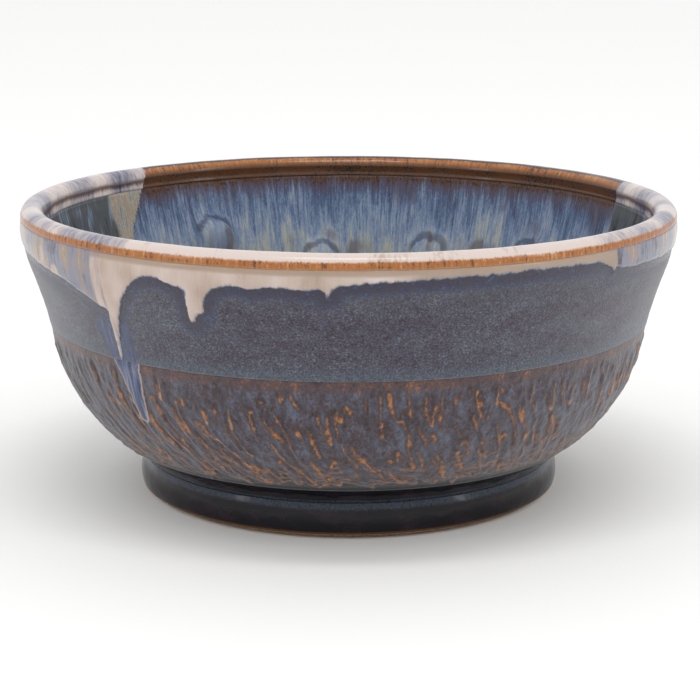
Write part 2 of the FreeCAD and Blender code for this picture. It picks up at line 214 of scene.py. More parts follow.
def draw_and_turn(name, loop, columns, joined):
    """Draws a section as a chain of edges, turns it round the axis and closes its seams."""
    bpy.ops.object.select_all(action="DESELECT")
    bpy.ops.mesh.primitive_circle_add(vertices=3, radius=MM)
    piece = bpy.context.object
    piece.name = piece.data.name = name
    bpy.ops.object.mode_set(mode="EDIT")
    bpy.ops.mesh.merge(type="CENTER")
    chain = np.vstack([loop, loop[:1]]) if joined else loop
    bpy.ops.transform.translate(value=(chain[0, 0] * MM, 0.0, chain[0, 1] * MM))
    for step_r, step_z in np.diff(chain, axis=0) * MM:
        bpy.ops.mesh.extrude_region_move(
            TRANSFORM_OT_translate={"value": (step_r, 0.0, step_z)}
        )
    bpy.ops.mesh.select_all(action="SELECT")
    bpy.ops.mesh.remove_doubles(threshold=1e-7)
    bpy.ops.object.mode_set(mode="OBJECT")
    bpy.ops.object.modifier_add(type="SCREW")
    turn = piece.modifiers[-1]
    turn.axis, turn.angle = "Z", math.tau
    turn.steps = turn.render_steps = columns
    bpy.ops.object.modifier_apply(modifier=turn.name)
    bpy.ops.object.mode_set(mode="EDIT")
    bpy.ops.mesh.select_all(action="SELECT")
    bpy.ops.mesh.remove_doubles(threshold=1e-7)
    bpy.ops.mesh.normals_make_consistent(inside=False)
    bpy.ops.mesh.faces_shade_smooth()
    bpy.ops.object.mode_set(mode="OBJECT")
    return piece


class Turned:
    """A turned piece as a grid: rows along its section, columns round the bowl."""

    def __init__(self, name, section, columns, behind=0.0):
        self.section, self.columns = section, columns
        face = np.stack([section.r, section.z], axis=1)
        rows = np.arange(len(face))
        if behind:
            # The hidden back needs few rows.
            few = np.unique(np.linspace(0, len(face) - 1, 9).round().astype(int))[::-1]
            normals = np.stack([section.normal_r, section.normal_z], axis=1)
            back = face[few] - behind * normals[few]
            back[:, 0] = np.maximum(back[:, 0], 0.0)
            loop, self.row_of = np.vstack([face, back]), np.concatenate([rows, few])
        else:
            loop, self.row_of = face, rows
        joined = section.r[0] > 0.01
        self.piece = draw_and_turn(name, loop, columns, joined)
        self.theta = np.arange(columns) * math.tau / columns
        self.direction = (np.degrees(self.theta) + 90 + 180) % 360 - 180
        self.around, self.height = np.meshgrid(self.direction, section.z)
        self.shape = self.height.shape
        self.step = section.path[1]
        # Millimetres along the face from its first row, and to its last.
        self.up = section.path[:, None]
        self.down = section.path[-1] - self.up
        place = np.empty(len(self.piece.data.vertices) * 3)
        self.piece.data.vertices.foreach_get("co", place)
        self.place = place.reshape(-1, 3) / MM
        reach = np.hypot(self.place[:, 0], self.place[:, 1])
        away = (reach[:, None] - loop[None, :, 0]) ** 2
        away += (self.place[:, 2][:, None] - loop[None, :, 1]) ** 2
        self.link = away.argmin(axis=1)
        self.row = self.row_of[self.link]
        turns = np.arctan2(self.place[:, 1], self.place[:, 0]) % math.tau
        self.column = (turns * columns / math.tau).round().astype(int) % columns
        self.pole = reach < 1e-4
        self.on_face = self.link < len(face)
        self.links = len(loop)
        self.joined = joined

    def points(self, around=1.0, along=1.0, lean=0.0):
        """Seamless coordinates for noise, with lumps of a size around and along the wall."""
        turn = self.theta[None, :] - lean / FLOW_RADIUS * np.ones((self.shape[0], 1))
        across = FLOW_RADIUS / around
        height = np.broadcast_to(self.up / along, self.shape)
        return np.stack([across * np.cos(turn), across * np.sin(turn), height], axis=-1)

    def work(self, rise):
        """Moves the face along its normals by a height in millimetres."""
        rise = np.broadcast_to(rise, self.shape)
        here = self.on_face & ~self.pole
        row, column = self.row[here], self.column[here]
        height = rise[row, column]
        reach = self.section.r[row] + height * self.section.normal_r[row]
        self.place[here, 0] = reach * np.cos(self.theta[column])
        self.place[here, 1] = reach * np.sin(self.theta[column])
        self.place[here, 2] = self.section.z[row] + height * self.section.normal_z[row]
        self.place[:, 2] += lip_lean(self.direction[self.column], self.place[:, 2])
        self.piece.data.vertices.foreach_set("co", (self.place * MM).ravel())
        self.piece.data.update()

    def store(self, name, field):
        """Keeps a field of the grid on the mesh, for the glaze to read."""
        field = np.broadcast_to(field, self.shape)
        layer = self.piece.data.attributes.new(name, "FLOAT", "POINT")
        layer.data.foreach_set("value", field[self.row, self.column].astype(np.float32))

    def store_flow(self):
        """Keeps where glaze flows: around the bowl and down its wall, in millimetres."""
        turn = self.theta[self.column]
        flow = np.stack([
            FLOW_RADIUS * np.cos(turn), FLOW_RADIUS * np.sin(turn), self.section.path[self.row],
        ], axis=1)
        layer = self.piece.data.attributes.new("flow", "FLOAT_VECTOR", "POINT")
        layer.data.foreach_set("vector", flow.astype(np.float32).ravel())

    def unwrap(self):
        """Lays the ring out as four quarters, one above the other."""
        mesh = self.piece.data
        corner = np.empty(len(mesh.loops), int)
        mesh.loops.foreach_get("vertex_index", corner)
        start = np.empty(len(mesh.polygons), int)
        mesh.polygons.foreach_get("loop_start", start)
        count = np.diff(np.append(start, len(corner)))
        link, column, pole = self.link[corner], self.column[corner], self.pole[corner]
        # Each face's first and last column; a face over the seam goes from the last to the first.
        first = np.repeat(np.minimum.reduceat(np.where(pole, self.columns, column), start), count)
        last = np.repeat(np.maximum.reduceat(np.where(pole, -1, column), start), count)
        over = last - first > self.columns / 2
        turn = np.where(over & (column == 0), self.columns, column).astype(float)
        first = np.where(over, last, first)
        quarter = first // (self.columns // 4)
        turn = np.where(pole, first + 0.5, turn) / (self.columns // 4) - quarter
        rows = self.shape[0]
        face_share = 0.9 if self.links > rows else 1.0 - 1.0 / self.links
        heights = np.concatenate([
            np.linspace(0.0, face_share, rows),
            np.linspace(face_share, 1.0, self.links - rows + 2)[1:-1],
        ])
        highest = np.repeat(np.maximum.reduceat(link, start), count)
        closing = (highest == self.links - 1) & (link == 0) & self.joined
        rise = np.where(closing, 1.0, heights[link])
        flat = np.stack([0.01 + 0.98 * turn, (quarter + 0.02 + 0.96 * rise) / 4], axis=1)
        layer = mesh.uv_layers.new(name="OFBake")
        layer.data.foreach_set("uv", flat.ravel())

    def finish(self, *nodes, slot, material):
        """Gives the piece its glaze and its place among the frame's nodes."""
        self.store_flow()
        self.store("height", self.height)
        self.store("depth", self.down)
        self.unwrap()
        self.piece.data.materials.append(material)
        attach(self.piece, "root")
        if nodes:
            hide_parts(*nodes)


def lip_lean(direction, height):
    """How far the potter's hand left the rim high or low, in millimetres."""
    lift, tilt, highest_at = 0.28, 0.52, -12.0
    lean = lift + tilt * np.cos(np.radians(direction - highest_at))
    return lean * ease(height, 56.5, 61.5)


def grain(points, seed=0):
    """Smooth noise from about -1 to 1 at an array of points, with another look for each seed."""
    shift = np.array([1.3, 2.9, 0.7]) * seed
    flat = (points + shift).reshape(-1, 3)
    return np.array([noise.noise(point) for point in flat]).reshape(points.shape[:-1])


def ease(value, low, high):
    """0 below low, 1 above high and a smooth step between them."""
    t = np.clip((value - low) / (high - low), 0.0, 1.0)
    return t * t * (3 - 2 * t)


def soften(field, times):
    """A field of the grid with each value shared with its neighbours."""
    for _ in range(times):
        field = (2 * field + np.roll(field, 1, axis=1) + np.roll(field, -1, axis=1)) / 4
        padded = np.pad(field, ((1, 1), (0, 0)), mode="edge")
        field = (2 * field + padded[:-2] + padded[2:]) / 4
    return field


def offset_mm(direction, middle, radius):
    """How far round the wall a direction lies from another, in millimetres."""
    return np.radians((direction - middle + 180) % 360 - 180) * radius


# ---------------------------------------------------------------- the poured glaze's edge

# Edge of the glaze that was poured round the rim: direction and height, with the runs left
# out.  The front was poured in cream; the rest is a thinner, streaked coat.
POURED_EDGE = (
    (-180, 55.6), (-166, 54.9), (-150, 56.0), (-131, 55.0), (-112, 55.8), (-95, 54.6),
    (-80, 55.2), (-66, 54.0), (-54, 52.3), (-47.5, 49.6), (-44, 48.0), (-41, 50.4),
    (-38, 53.6), (-35, 56.0), (-32.3, 56.9), (-29.5, 55.6), (-26, 55.0), (-21, 55.6),
    (-18, 56.6), (-15, 55.6), (-12.5, 56.5), (-7, 55.9), (-2, 56.6), (1, 57.2), (10, 57.7),
    (30, 58.0), (43, 57.7), (48, 56.6), (50, 55.4), (62, 55.0), (80, 54.4), (97, 55.4),
    (120, 54.7), (141, 55.9), (160, 55.0),
)

# Run: a run of glaze below that edge.  Direction and height of its top and of its tip, and
# half its breadth at both.
Run = namedtuple("Run", "top_direction top tip_direction tip top_half tip_half")
RUNS = (
    Run(-39.0, 56.5, -43.6, 37.6, 3.6, 0.6),
    Run(-24.3, 57.0, -25.6, 48.9, 2.3, 0.8),
    Run(-22.9, 56.0, -24.0, 51.0, 1.7, 0.9),
    Run(-3.2, 57.5, -3.2, 54.9, 1.0, 0.3),
    Run(46.4, 57.5, 48.0, 54.8, 1.3, 0.4),
    Run(101.0, 57.0, 101.8, 50.6, 1.8, 0.6),
    Run(148.0, 57.0, 147.0, 52.0, 1.5, 0.6),
    Run(-157.0, 57.0, -156.4, 48.2, 2.1, 0.7),
    Run(-104.0, 57.0, -104.8, 51.4, 1.6, 0.6),
)
# Directions between which it is cream, and the cream streak that slants to the long run.
CREAM_FROM, CREAM_TO = -42.5, 48.3
CREAM_STREAK = Run(-57.0, 53.6, -43.8, 45.0, 1.3, 0.7)
# The rivulet that one run feeds, over the bark.
RIVULET = Run(-44.2, 43.0, -41.4, 25.8, 5.8, 1.3)

# Inside the bowl, the left edge of what was poured, as height and direction, and the direction
# of its right edge.
INNER_LEFT = ((0, -118), (30, -124), (42, -126.5), (47, -126), (55, -130.6), (62, -133.3))
INNER_RIGHT = 111.5
INNER_RADIUS = 62.0   # millimetres: the radius that breadths inside are measured at


def run_distance(coat, run, radius):
    """Millimetres inside a run over a coat's grid, negative outside."""
    share = np.clip((run.top - coat.height) / (run.top - run.tip), 0.0, 1.0)
    middle = run.top_direction + (run.tip_direction - run.top_direction) * share * (2 - share)
    half = run.tip_half + (run.top_half - run.tip_half) * (1 - share) ** 1.6
    aside = offset_mm(coat.around, middle, radius)
    beyond = np.maximum(run.tip - coat.height, 0.0)
    return half - np.hypot(aside, beyond)


def poured_distance(coat):
    """Millimetres inside the poured glaze over a coat's grid, negative outside."""
    places, heights = np.array(POURED_EDGE).T
    edge = np.interp(coat.direction, places, heights, period=360)
    distance = coat.height - soften(edge[None, :], 8)
    # Each run grows out of the edge through a fillet of this many millimetres.
    blend = 1.6
    for run in RUNS:
        run_in = run_distance(coat, run, WIDEST - 1.5)
        share = np.clip(0.5 + 0.5 * (run_in - distance) / blend, 0.0, 1.0)
        distance = distance + (run_in - distance) * share + blend * share * (1 - share)
    ragged = 0.30 * grain(coat.points(1.6, 2.6), 3) + 0.22 * grain(coat.points(0.7, 1.1), 5)
    return distance + ragged


def cream_share(coat):
    """1 where the poured glaze is cream, 0 where it is the streaked coat beside it."""
    left = offset_mm(coat.around, CREAM_FROM, WIDEST) + 3.5 * grain(coat.points(2.5, 11), 11)
    right = offset_mm(coat.around, CREAM_TO, WIDEST) + 0.25 * grain(coat.points(0.8, 2), 12)
    share = ease(left, -6.0, 1.5) * ease(-right, -0.1, 0.5)
    streak = CREAM_STREAK
    along = np.clip((streak.top - coat.height) / (streak.top - streak.tip), 0.0, 1.0)
    middle = streak.top_direction + (streak.tip_direction - streak.top_direction) * along
    # It slants, so its breadth round the bowl is more than its breadth across itself.
    aside = offset_mm(coat.around, middle, WIDEST) * 0.6
    half = streak.top_half + (streak.tip_half - streak.top_half) * along
    beyond = np.maximum(coat.height - streak.top, 0.0) + np.maximum(streak.tip - coat.height, 0.0)
    inside = half - np.hypot(aside, beyond) + 0.8 * grain(coat.points(1.6, 5), 13)
    return np.maximum(share, 0.8 * ease(inside, -1.0, 1.0))


# ---------------------------------------------------------------- materials


def add(tree, kind, inputs=None, out=0, ramp=None, **settings):
    """Adds a node with its settings, colour stops, values and links, and gives an output."""
    node = tree.nodes.new(kind)
    for name, value in settings.items():
        setattr(node, name, value)
    if ramp:
        stops = node.color_ramp.elements
        while len(stops) < len(ramp):
            stops.new(1.0)
        for stop, (position, shade) in zip(stops, ramp):
            stop.position, stop.color = position, shade
    for name, value in (inputs or {}).items():
        socket = node.inputs[name]
        if isinstance(value, bpy.types.NodeSocket):
            tree.links.new(value, socket)
        else:
            socket.default_value = value
    return node.outputs[out]


class Glaze:
    """A fired surface under way: its node tree and the patterns that such surfaces share."""

    def __init__(self, name, **shader):
        self.material = bpy.data.materials.new(name)
        self.material.use_nodes = True
        self.tree = self.material.node_tree
        self.shader = self.tree.nodes["Principled BSDF"]
        for socket, value in shader.items():
            self.shader.inputs[socket.replace("_", " ")].default_value = value

    def marks(self, around, along, seed=0.0, detail=2.0, roughness=0.5, warp=0.0):
        """Marks that follow the wall, of a size around and along it in millimetres."""
        flow = add(self.tree, "ShaderNodeAttribute", out=1, attribute_name="flow")
        scaled = add(self.tree, "ShaderNodeMapping", {
            "Vector": flow,
            "Scale": (1 / around, 1 / around, 1 / along),
            "Location": (seed, -seed, 2 * seed),
        })
        return add(self.tree, "ShaderNodeTexNoise", {
            "Vector": scaled, "Scale": 1.0, "Detail": detail,
            "Roughness": roughness, "Distortion": warp,
        })

    def uneven(self, field, *marks):
        """A field kept on the mesh, or a value, made uneven by shares of marks."""
        value = field
        if isinstance(field, str):
            value = add(self.tree, "ShaderNodeAttribute", out=2, attribute_name=field)
        for share, mark in marks:
            centred = add(self.tree, "ShaderNodeMath", {0: mark, 1: 0.5}, operation="SUBTRACT")
            value = add(self.tree, "ShaderNodeMath", {0: centred, 1: share, 2: value},
                        operation="MULTIPLY_ADD")
        return value

    def over(self, below, above, value, low, high, most=1.0):
        """One colour laid over another as a value goes from low to high."""
        mask = add(self.tree, "ShaderNodeMapRange", {
            "Value": value, "From Min": low, "From Max": high, "To Max": most,
        }, interpolation_type="SMOOTHSTEP")
        return add(self.tree, "ShaderNodeMix", {0: mask, 6: below, 7: above}, out=2,
                   data_type="RGBA")

    def fire(self, base, roughness=None, relief=None, depth=0.0):
        """Links the colour, and any roughness and fine relief, to the shader."""
        self.tree.links.new(base, self.shader.inputs["Base Color"])
        if roughness is not None:
            self.tree.links.new(roughness, self.shader.inputs["Roughness"])
        if relief is not None:
            bump = add(self.tree, "ShaderNodeBump", {
                "Height": relief, "Distance": depth * MM, "Strength": 1.0,
            })
            self.tree.links.new(bump, self.shader.inputs["Normal"])
        return self.material


def colours():
    return bpy.context.scene.bowl_colours


def sizes():
    return bpy.context.scene.bowl_sizes


def iron_break(glaze, mark):
    """Iron that breaks through a thin glaze: caramel, with dark and pale spots."""
    shades = colours()
    return add(glaze.tree, "ShaderNodeValToRGB", {0: mark}, ramp=(
        (0.30, shades.caramel_dark), (0.45, shades.caramel), (0.58, shades.caramel),
        (0.74, shades.caramel_light),
    ))


def streaked_glaze(glaze, mark):
    """The poured glaze where it is thin: streaks of blue, lavender, grey green and brown."""
    shades = colours()
    return add(glaze.tree, "ShaderNodeValToRGB", {0: mark}, ramp=(
        (0.26, shades.plum), (0.40, shades.pale), (0.50, shades.lavender),
        (0.60, shades.cream_thin), (0.72, shades.cream),
    ))


def cream_glaze():
    """Glossy cream glaze, poured: thick and buff in its runs, streaked blue where it is thin."""
    shades = colours()
    glaze = Glaze("poured_cream_glaze", Roughness=0.22, IOR=1.48, Sheen_Weight=0.2)
    tree = glaze.tree
    streaks = glaze.marks(0.6, 5.0, seed=1, detail=4, warp=0.4)
    clouds = glaze.marks(7.0, 11.0, seed=2, detail=2)
    fine = glaze.marks(0.35, 0.6, seed=3, detail=3)
    streaked = streaked_glaze(glaze, glaze.uneven(clouds, (0.5, streaks), (0.2, fine)))
    rust = glaze.marks(2.5, 5.0, seed=12, detail=3)
    streaked = glaze.over(streaked, shades.liner_brown, rust, 0.58, 0.74, 0.6)
    tone = glaze.uneven(clouds, (0.16, streaks), (0.10, fine))
    cream = add(tree, "ShaderNodeValToRGB", {0: tone}, ramp=(
        (0.16, shades.cream_thin), (0.40, shades.cream), (0.80, shades.crest),
    ))
    share = glaze.uneven("cream", (0.5, streaks))
    # Close under the lip, and to the right, the glaze is thinner and more olive.
    buff = glaze.over(cream, shades.cream_thin, glaze.uneven("buff", (0.5, clouds)), 0.3, 0.9, 0.75)
    base = glaze.over(streaked, buff, share, 0.3, 0.7)
    base = glaze.over(base, shades.caramel, fine, 0.735, 0.80, 0.5)
    edge = glaze.uneven("edge", (0.45, fine), (0.4, streaks))
    base = glaze.over(base, shades.lavender, edge, 0.55, 0.30, 0.7)
    base = glaze.over(base, shades.teal, edge, 0.30, 0.10)
    base = glaze.over(base, shades.halo, edge, 0.06, -0.15)
    height = glaze.uneven("height", (0.35, fine), (0.5, clouds))
    base = glaze.over(base, iron_break(glaze, fine), height, COLLAR_TOP - 0.5, COLLAR_TOP + 0.2,
                      0.35)
    return glaze.fire(base, relief=clouds, depth=0.12)


def band_glaze():
    """Satin blue glaze, sprayed: its crystals speckle slate, plum and grey green."""
    shades = colours()
    glaze = Glaze("satin_blue_glaze", IOR=1.45, Sheen_Weight=0.4, Sheen_Roughness=0.45)
    tree = glaze.tree
    grainy = sizes().speckle / MM
    speckle = glaze.marks(grainy, grainy, seed=4, detail=3, roughness=0.75)
    spots = glaze.marks(1.3, 1.3, seed=5, detail=3, roughness=0.6)
    clouds = glaze.marks(11.0, 5.0, seed=6, detail=2)
    mixed = glaze.uneven(0.5, (1.5, speckle), (0.4, spots), (0.3, clouds))
    base = add(tree, "ShaderNodeValToRGB", {0: mixed}, ramp=(
        (0.28, shades.bark_dark_and_shadow), (0.42, shades.plum), (0.52, shades.slate),
        (0.62, shades.moss), (0.78, shades.pale),
    ))
    height = glaze.uneven("height", (1.6, spots), (1.6, speckle))
    teal = add(tree, "ShaderNodeValToRGB", {0: speckle}, ramp=(
        (0.34, shades.plum), (0.48, shades.teal), (0.72, shades.pale),
    ))
    base = glaze.over(base, teal, height, BARK_TOP + 3.2, BARK_TOP + 0.8, 0.85)
    # Under the lip the band is greyer, and beside the poured glaze it is dark, then blue.
    base = glaze.over(base, shades.moss, height, COLLAR_TOP - 9.0, COLLAR_TOP - 4.0, 0.35)
    edge = glaze.uneven("edge", (1.3, spots), (0.9, speckle))
    blue = add(tree, "ShaderNodeValToRGB", {0: speckle}, ramp=(
        (0.36, shades.halo), (0.55, shades.halo_light), (0.75, shades.lavender),
    ))
    base = glaze.over(base, blue, edge, -3.2, -1.6, 0.65)
    dark = add(tree, "ShaderNodeValToRGB", {0: glaze.uneven(spots, (0.4, speckle))}, ramp=(
        (0.42, shades.halo_plum), (0.58, shades.halo), (0.72, shades.halo_light),
    ))
    base = glaze.over(base, dark, edge, -2.8, -0.9, 0.95)
    # The long run's blue washes over the band on its way to the bark.
    wash = add(tree, "ShaderNodeValToRGB", {0: glaze.marks(0.7, 9.0, seed=26, detail=3)}, ramp=(
        (0.34, shades.halo), (0.50, shades.halo_light), (0.64, shades.rivulet),
        (0.76, shades.lavender),
    ))
    base = glaze.over(base, wash, glaze.uneven("wash", (0.6, spots)), 0.3, 0.8, 0.85)
    pit = glaze.marks(2.2, 2.2, seed=7)
    base = glaze.over(base, shades.bark_dark_and_shadow, pit, 0.845, 0.86)
    rough = add(tree, "ShaderNodeMapRange", {
        "Value": edge, "From Min": -2.0, "From Max": -0.8, "To Min": 0.5, "To Max": 0.26,
    })
    return glaze.fire(base, roughness=rough, relief=mixed, depth=0.10)


def lip_glaze():
    """Glossy glaze that drew thin on the lip: pale on the crest, iron on both its edges."""
    shades = colours()
    glaze = Glaze("lip_glaze", Roughness=0.22, IOR=1.48)
    tree = glaze.tree
    streaks = glaze.marks(0.6, 2.0, seed=8, detail=4)
    clouds = glaze.marks(9.0, 30.0, seed=9, detail=3)
    fine = glaze.marks(0.3, 0.4, seed=10, detail=3)
    cream = add(tree, "ShaderNodeValToRGB", {0: glaze.uneven(clouds, (0.5, streaks))}, ramp=(
        (0.14, shades.cream_thin), (0.32, shades.cream), (0.46, shades.crest),
        (0.8, shades.crest),
    ))
    blue = add(tree, "ShaderNodeValToRGB", {0: glaze.uneven(clouds, (0.45, streaks))}, ramp=(
        (0.24, shades.halo_light), (0.38, shades.lavender), (0.66, shades.crest),
        (0.80, shades.crest),
    ))
    poured = glaze.over(blue, cream, glaze.uneven("cream", (0.6, clouds)), 0.35, 0.65)
    drawn = glaze.marks(0.5, 3.5, seed=11, detail=4, roughness=0.6)
    iron = iron_break(glaze, glaze.uneven(drawn, (0.6, fine), (0.5, clouds)))
    brown = add(tree, "ShaderNodeValToRGB", {0: glaze.uneven(fine, (0.5, clouds))}, ramp=(
        (0.30, shades.bark_dark_and_shadow), (0.46, shades.liner_brown), (0.70, shades.caramel_dark),
    ))
    across = glaze.uneven("across", (0.7, fine), (0.5, streaks), (1.0, clouds))
    # Behind, where nothing was poured: dusk outside, iron on the crest, brown inside.
    bare = glaze.over(shades.halo_light, shades.bark_dark_and_shadow, across, 4.3, 4.7)
    bare = glaze.over(bare, iron, across, 4.9, 5.5)
    bare = glaze.over(bare, brown, across, 5.9, 7.6)
    inner_line = glaze.over(poured, brown, across, 7.6, 8.3, 0.8)
    inner_line = glaze.over(inner_line, poured, across, 8.5, 9.3)
    base = glaze.over(bare, inner_line, glaze.uneven("poured", (0.2, fine)), 0.35, 0.65)
    # The iron shows as one narrow line on the outer edge, ragged and here and there covered.
    line = glaze.uneven("across", (0.5, fine), (0.3, streaks), (0.9, clouds))
    base = glaze.over(base, iron, line, 1.6, 1.1)
    olive = glaze.over(shades.cream_thin, shades.lavender, glaze.uneven("cream"), 0.6, 0.2)
    base = glaze.over(base, olive, line, 0.35, 0.0, 0.8)
    return glaze.fire(base, relief=clouds, depth=0.2)


def liner_glaze():
    """Glossy floating blue: rutile streaks that ran down from a brown break at the lip."""
    shades = colours()
    width, length = sizes().streak_width / MM, sizes().streak_length / MM
    glaze = Glaze("floating_blue_glaze", Roughness=0.42, IOR=1.36)
    tree = glaze.tree
    streaks = glaze.marks(width, length, seed=14, detail=5, roughness=0.6, warp=0.6)
    broad = glaze.marks(3.0, 11.0, seed=15, detail=3, warp=0.6)
    clouds = glaze.marks(11.0, 14.0, seed=16, detail=2)
    fine = glaze.marks(0.35, 0.7, seed=17, detail=3)
    # The glaze lightens as it runs down.
    run = add(tree, "ShaderNodeMapRange", {
        "Value": glaze.uneven("depth"), "From Min": 0.0, "From Max": 20.0,
        "To Min": 0.32, "To Max": 0.80,
    })
    tone = glaze.uneven(run, (1.0, streaks), (0.9, broad), (0.4, fine))
    base = add(tree, "ShaderNodeValToRGB", {0: tone}, ramp=(
        (0.04, shades.liner_deep), (0.20, shades.liner_dusk), (0.40, shades.liner_mid),
        (0.64, shades.liner_light), (0.88, shades.liner_cream),
    ))
    base = glaze.over(base, shades.liner_plum, glaze.uneven(clouds, (0.5, broad)), 0.58, 0.72, 0.7)
    poured = add(tree, "ShaderNodeValToRGB", {0: glaze.uneven(broad, (0.6, streaks))}, ramp=(
        (0.28, shades.bark_dark_and_shadow), (0.42, shades.moss), (0.56, shades.moss),
        (0.74, shades.liner_light),
    ))
    thick = glaze.uneven("thick", (0.8, streaks), (0.8, broad))
    creamy = add(tree, "ShaderNodeValToRGB", {0: glaze.uneven(streaks, (0.5, fine))}, ramp=(
        (0.30, shades.liner_mid), (0.44, shades.liner_cream), (0.56, shades.cream_thin),
        (0.72, shades.cream),
    ))
    poured = glaze.over(poured, creamy, thick, 0.3, 0.8)
    edge = glaze.uneven("inside", (0.25, fine))
    base = glaze.over(base, poured, edge, 0.2, 0.9)
    rim = glaze.uneven("knob_rim", (0.6, streaks), (0.5, fine))
    base = glaze.over(base, shades.liner_deep, rim, 0.45, 1.1, 0.7)
    top = glaze.uneven("knob_top", (0.9, streaks), (0.4, fine))
    base = glaze.over(base, shades.liner_light, top, 0.6, 1.1, 0.6)
    depth = glaze.uneven("depth", (6.0, streaks), (4.0, broad), (1.5, fine))
    brown = add(tree, "ShaderNodeValToRGB", {0: fine}, ramp=(
        (0.35, shades.bark_dark_and_shadow), (0.52, shades.liner_brown), (0.75, shades.caramel_dark),
    ))
    thin = glaze.over(base, shades.liner_plum, depth, 5.0, 2.0, 0.8)
    thin = glaze.over(thin, brown, depth, 2.6, 0.2)
    base = glaze.over(thin, base, glaze.uneven("inside"), 0.3, 0.6)
    return glaze.fire(base, relief=broad, depth=0.25)


def bark_slip():
    """Thick slip combed and torn like bark, under a satin blue that broke brown on ridges."""
    shades = colours()
    glaze = Glaze("bark_slip", Roughness=0.46, IOR=1.45, Sheen_Weight=0.35, Sheen_Roughness=0.45)
    tree = glaze.tree
    speckle = glaze.marks(0.45, 0.6, seed=20, detail=4, roughness=0.75)
    spots = glaze.marks(1.3, 2.0, seed=21, detail=3, roughness=0.6, warp=0.6)
    clouds = glaze.marks(4.0, 6.0, seed=22, detail=2)
    mixed = glaze.uneven(speckle, (0.8, spots), (0.4, clouds))
    base = add(tree, "ShaderNodeValToRGB", {0: mixed}, ramp=(
        (0.24, shades.bark_dark_and_shadow), (0.44, shades.bark_plum), (0.56, shades.bark_slate),
        (0.76, shades.bark_pale),
    ))
    top = glaze.uneven("height", (2.2, clouds), (1.4, spots))
    wiped = add(tree, "ShaderNodeValToRGB", {0: mixed}, ramp=(
        (0.25, shades.bark_dark_and_shadow), (0.45, shades.bark_plum), (0.62, shades.caramel_dark),
        (0.80, shades.bark_ridge),
    ))
    base = glaze.over(base, wiped, top, BARK_TOP - 3.0, BARK_TOP - 1.0, 0.8)
    ridge = glaze.uneven("ridge", (0.45, speckle), (0.35, spots))
    # Painted shadow: the glaze just beside each ridge is darkened as if the ridge shaded it.
    base = glaze.over(base, shades.bark_dark_and_shadow, ridge, 0.04, 0.20, 0.45)
    iron = add(tree, "ShaderNodeValToRGB", {0: speckle}, ramp=(
        (0.34, shades.caramel_dark), (0.52, shades.bark_ridge), (0.72, shades.caramel_light),
    ))
    base = glaze.over(base, shades.caramel_dark, ridge, 0.22, 0.50, 0.6)
    base = glaze.over(base, iron, ridge, 0.40, 0.70)
    # Iron rims the cracks, and their middles are painted near black as painted shade in the crack.
    crack = glaze.uneven("crack", (0.4, speckle))
    base = glaze.over(base, iron, crack, 0.08, 0.30, 0.6)
    base = glaze.over(base, shades.bark_dark_and_shadow, crack, 0.35, 0.65)
    rag = glaze.uneven("rag", (0.6, speckle), (0.5, spots))
    base = glaze.over(base, iron, rag, 0.60, 0.30, 0.75)
    base = glaze.over(base, shades.neck_dark, rag, 0.15, -0.15)
    run = glaze.uneven("rivulet", (0.7, spots), (0.5, speckle))
    blue = add(tree, "ShaderNodeValToRGB", {0: glaze.marks(0.6, 8.0, seed=23, detail=3)}, ramp=(
        (0.35, shades.halo), (0.52, shades.rivulet), (0.72, shades.lavender),
    ))
    base = glaze.over(base, shades.cream, run, -0.15, 0.12, 0.8)
    base = glaze.over(base, blue, run, 0.20, 0.45)
    rough = add(tree, "ShaderNodeMapRange", {
        "Value": run, "From Min": -0.2, "From Max": 0.2, "To Min": 0.46, "To Max": 0.18,
    })
    return glaze.fire(base, roughness=rough, relief=mixed, depth=0.20)


def dark_glaze():
    """Glossy dark glaze on the foot, with a bluish edge where it drew away from the clay."""
    shades = colours()
    glaze = Glaze("dark_glossy_glaze", Roughness=0.17, IOR=1.33)
    tree = glaze.tree
    speckle = glaze.marks(0.4, 0.4, seed=24, detail=3, roughness=0.7)
    clouds = glaze.marks(8.0, 3.0, seed=25, detail=2)
    base = add(tree, "ShaderNodeValToRGB", {0: glaze.uneven(clouds, (0.5, speckle))}, ramp=(
        (0.32, shades.neck_dark), (0.50, shades.foot_dark), (0.68, shades.foot_plum),
    ))
    blue = add(tree, "ShaderNodeValToRGB", {0: speckle}, ramp=(
        (0.32, shades.foot_dark), (0.52, shades.foot_blue), (0.75, shades.teal),
    ))
    base = glaze.over(base, blue, glaze.uneven("blue", (0.6, speckle), (0.4, clouds)), 0.3, 0.9)
    base = glaze.over(base, shades.liner_brown, glaze.uneven("thin", (0.6, speckle)), 0.45, 0.8)
    return glaze.fire(base, relief=clouds, depth=0.2)


def stoneware():
    """Bare buff stoneware, cut with a trimming tool: fine grog and turning lines."""
    shades = colours()
    glaze = Glaze("bare_stoneware", Roughness=0.75, IOR=1.45)
    tree = glaze.tree
    place = add(tree, "ShaderNodeTexCoord", out=3)
    # Grog of about half a millimetre, and turning lines a millimetre apart.
    grog = add(tree, "ShaderNodeTexNoise", {"Vector": place, "Scale": 2000.0, "Detail": 3.0})
    lines = add(tree, "ShaderNodeTexWave", {
        "Vector": place, "Scale": 320.0, "Distortion": 1.5, "Detail": 2.0,
    }, wave_type="RINGS", rings_direction="Z")
    base = add(tree, "ShaderNodeValToRGB", {0: glaze.uneven(grog, (0.25, lines))}, ramp=(
        (0.30, shades.liner_brown), (0.46, shades.clay), (0.75, shades.cream_thin),
    ))
    return glaze.fire(base, relief=lines, depth=0.08)


# ---------------------------------------------------------------- pieces


def winding_lines(coat, around, along, lean, seed):
    """Signed distance to the nearest of a family of winding lines, in millimetres."""
    wave = grain(coat.points(around, along, lean), seed)
    spacing = math.tau * FLOW_RADIUS / coat.columns
    up, round_ = np.gradient(wave, coat.step, spacing)
    return wave / (np.hypot(up, round_) + 0.03)


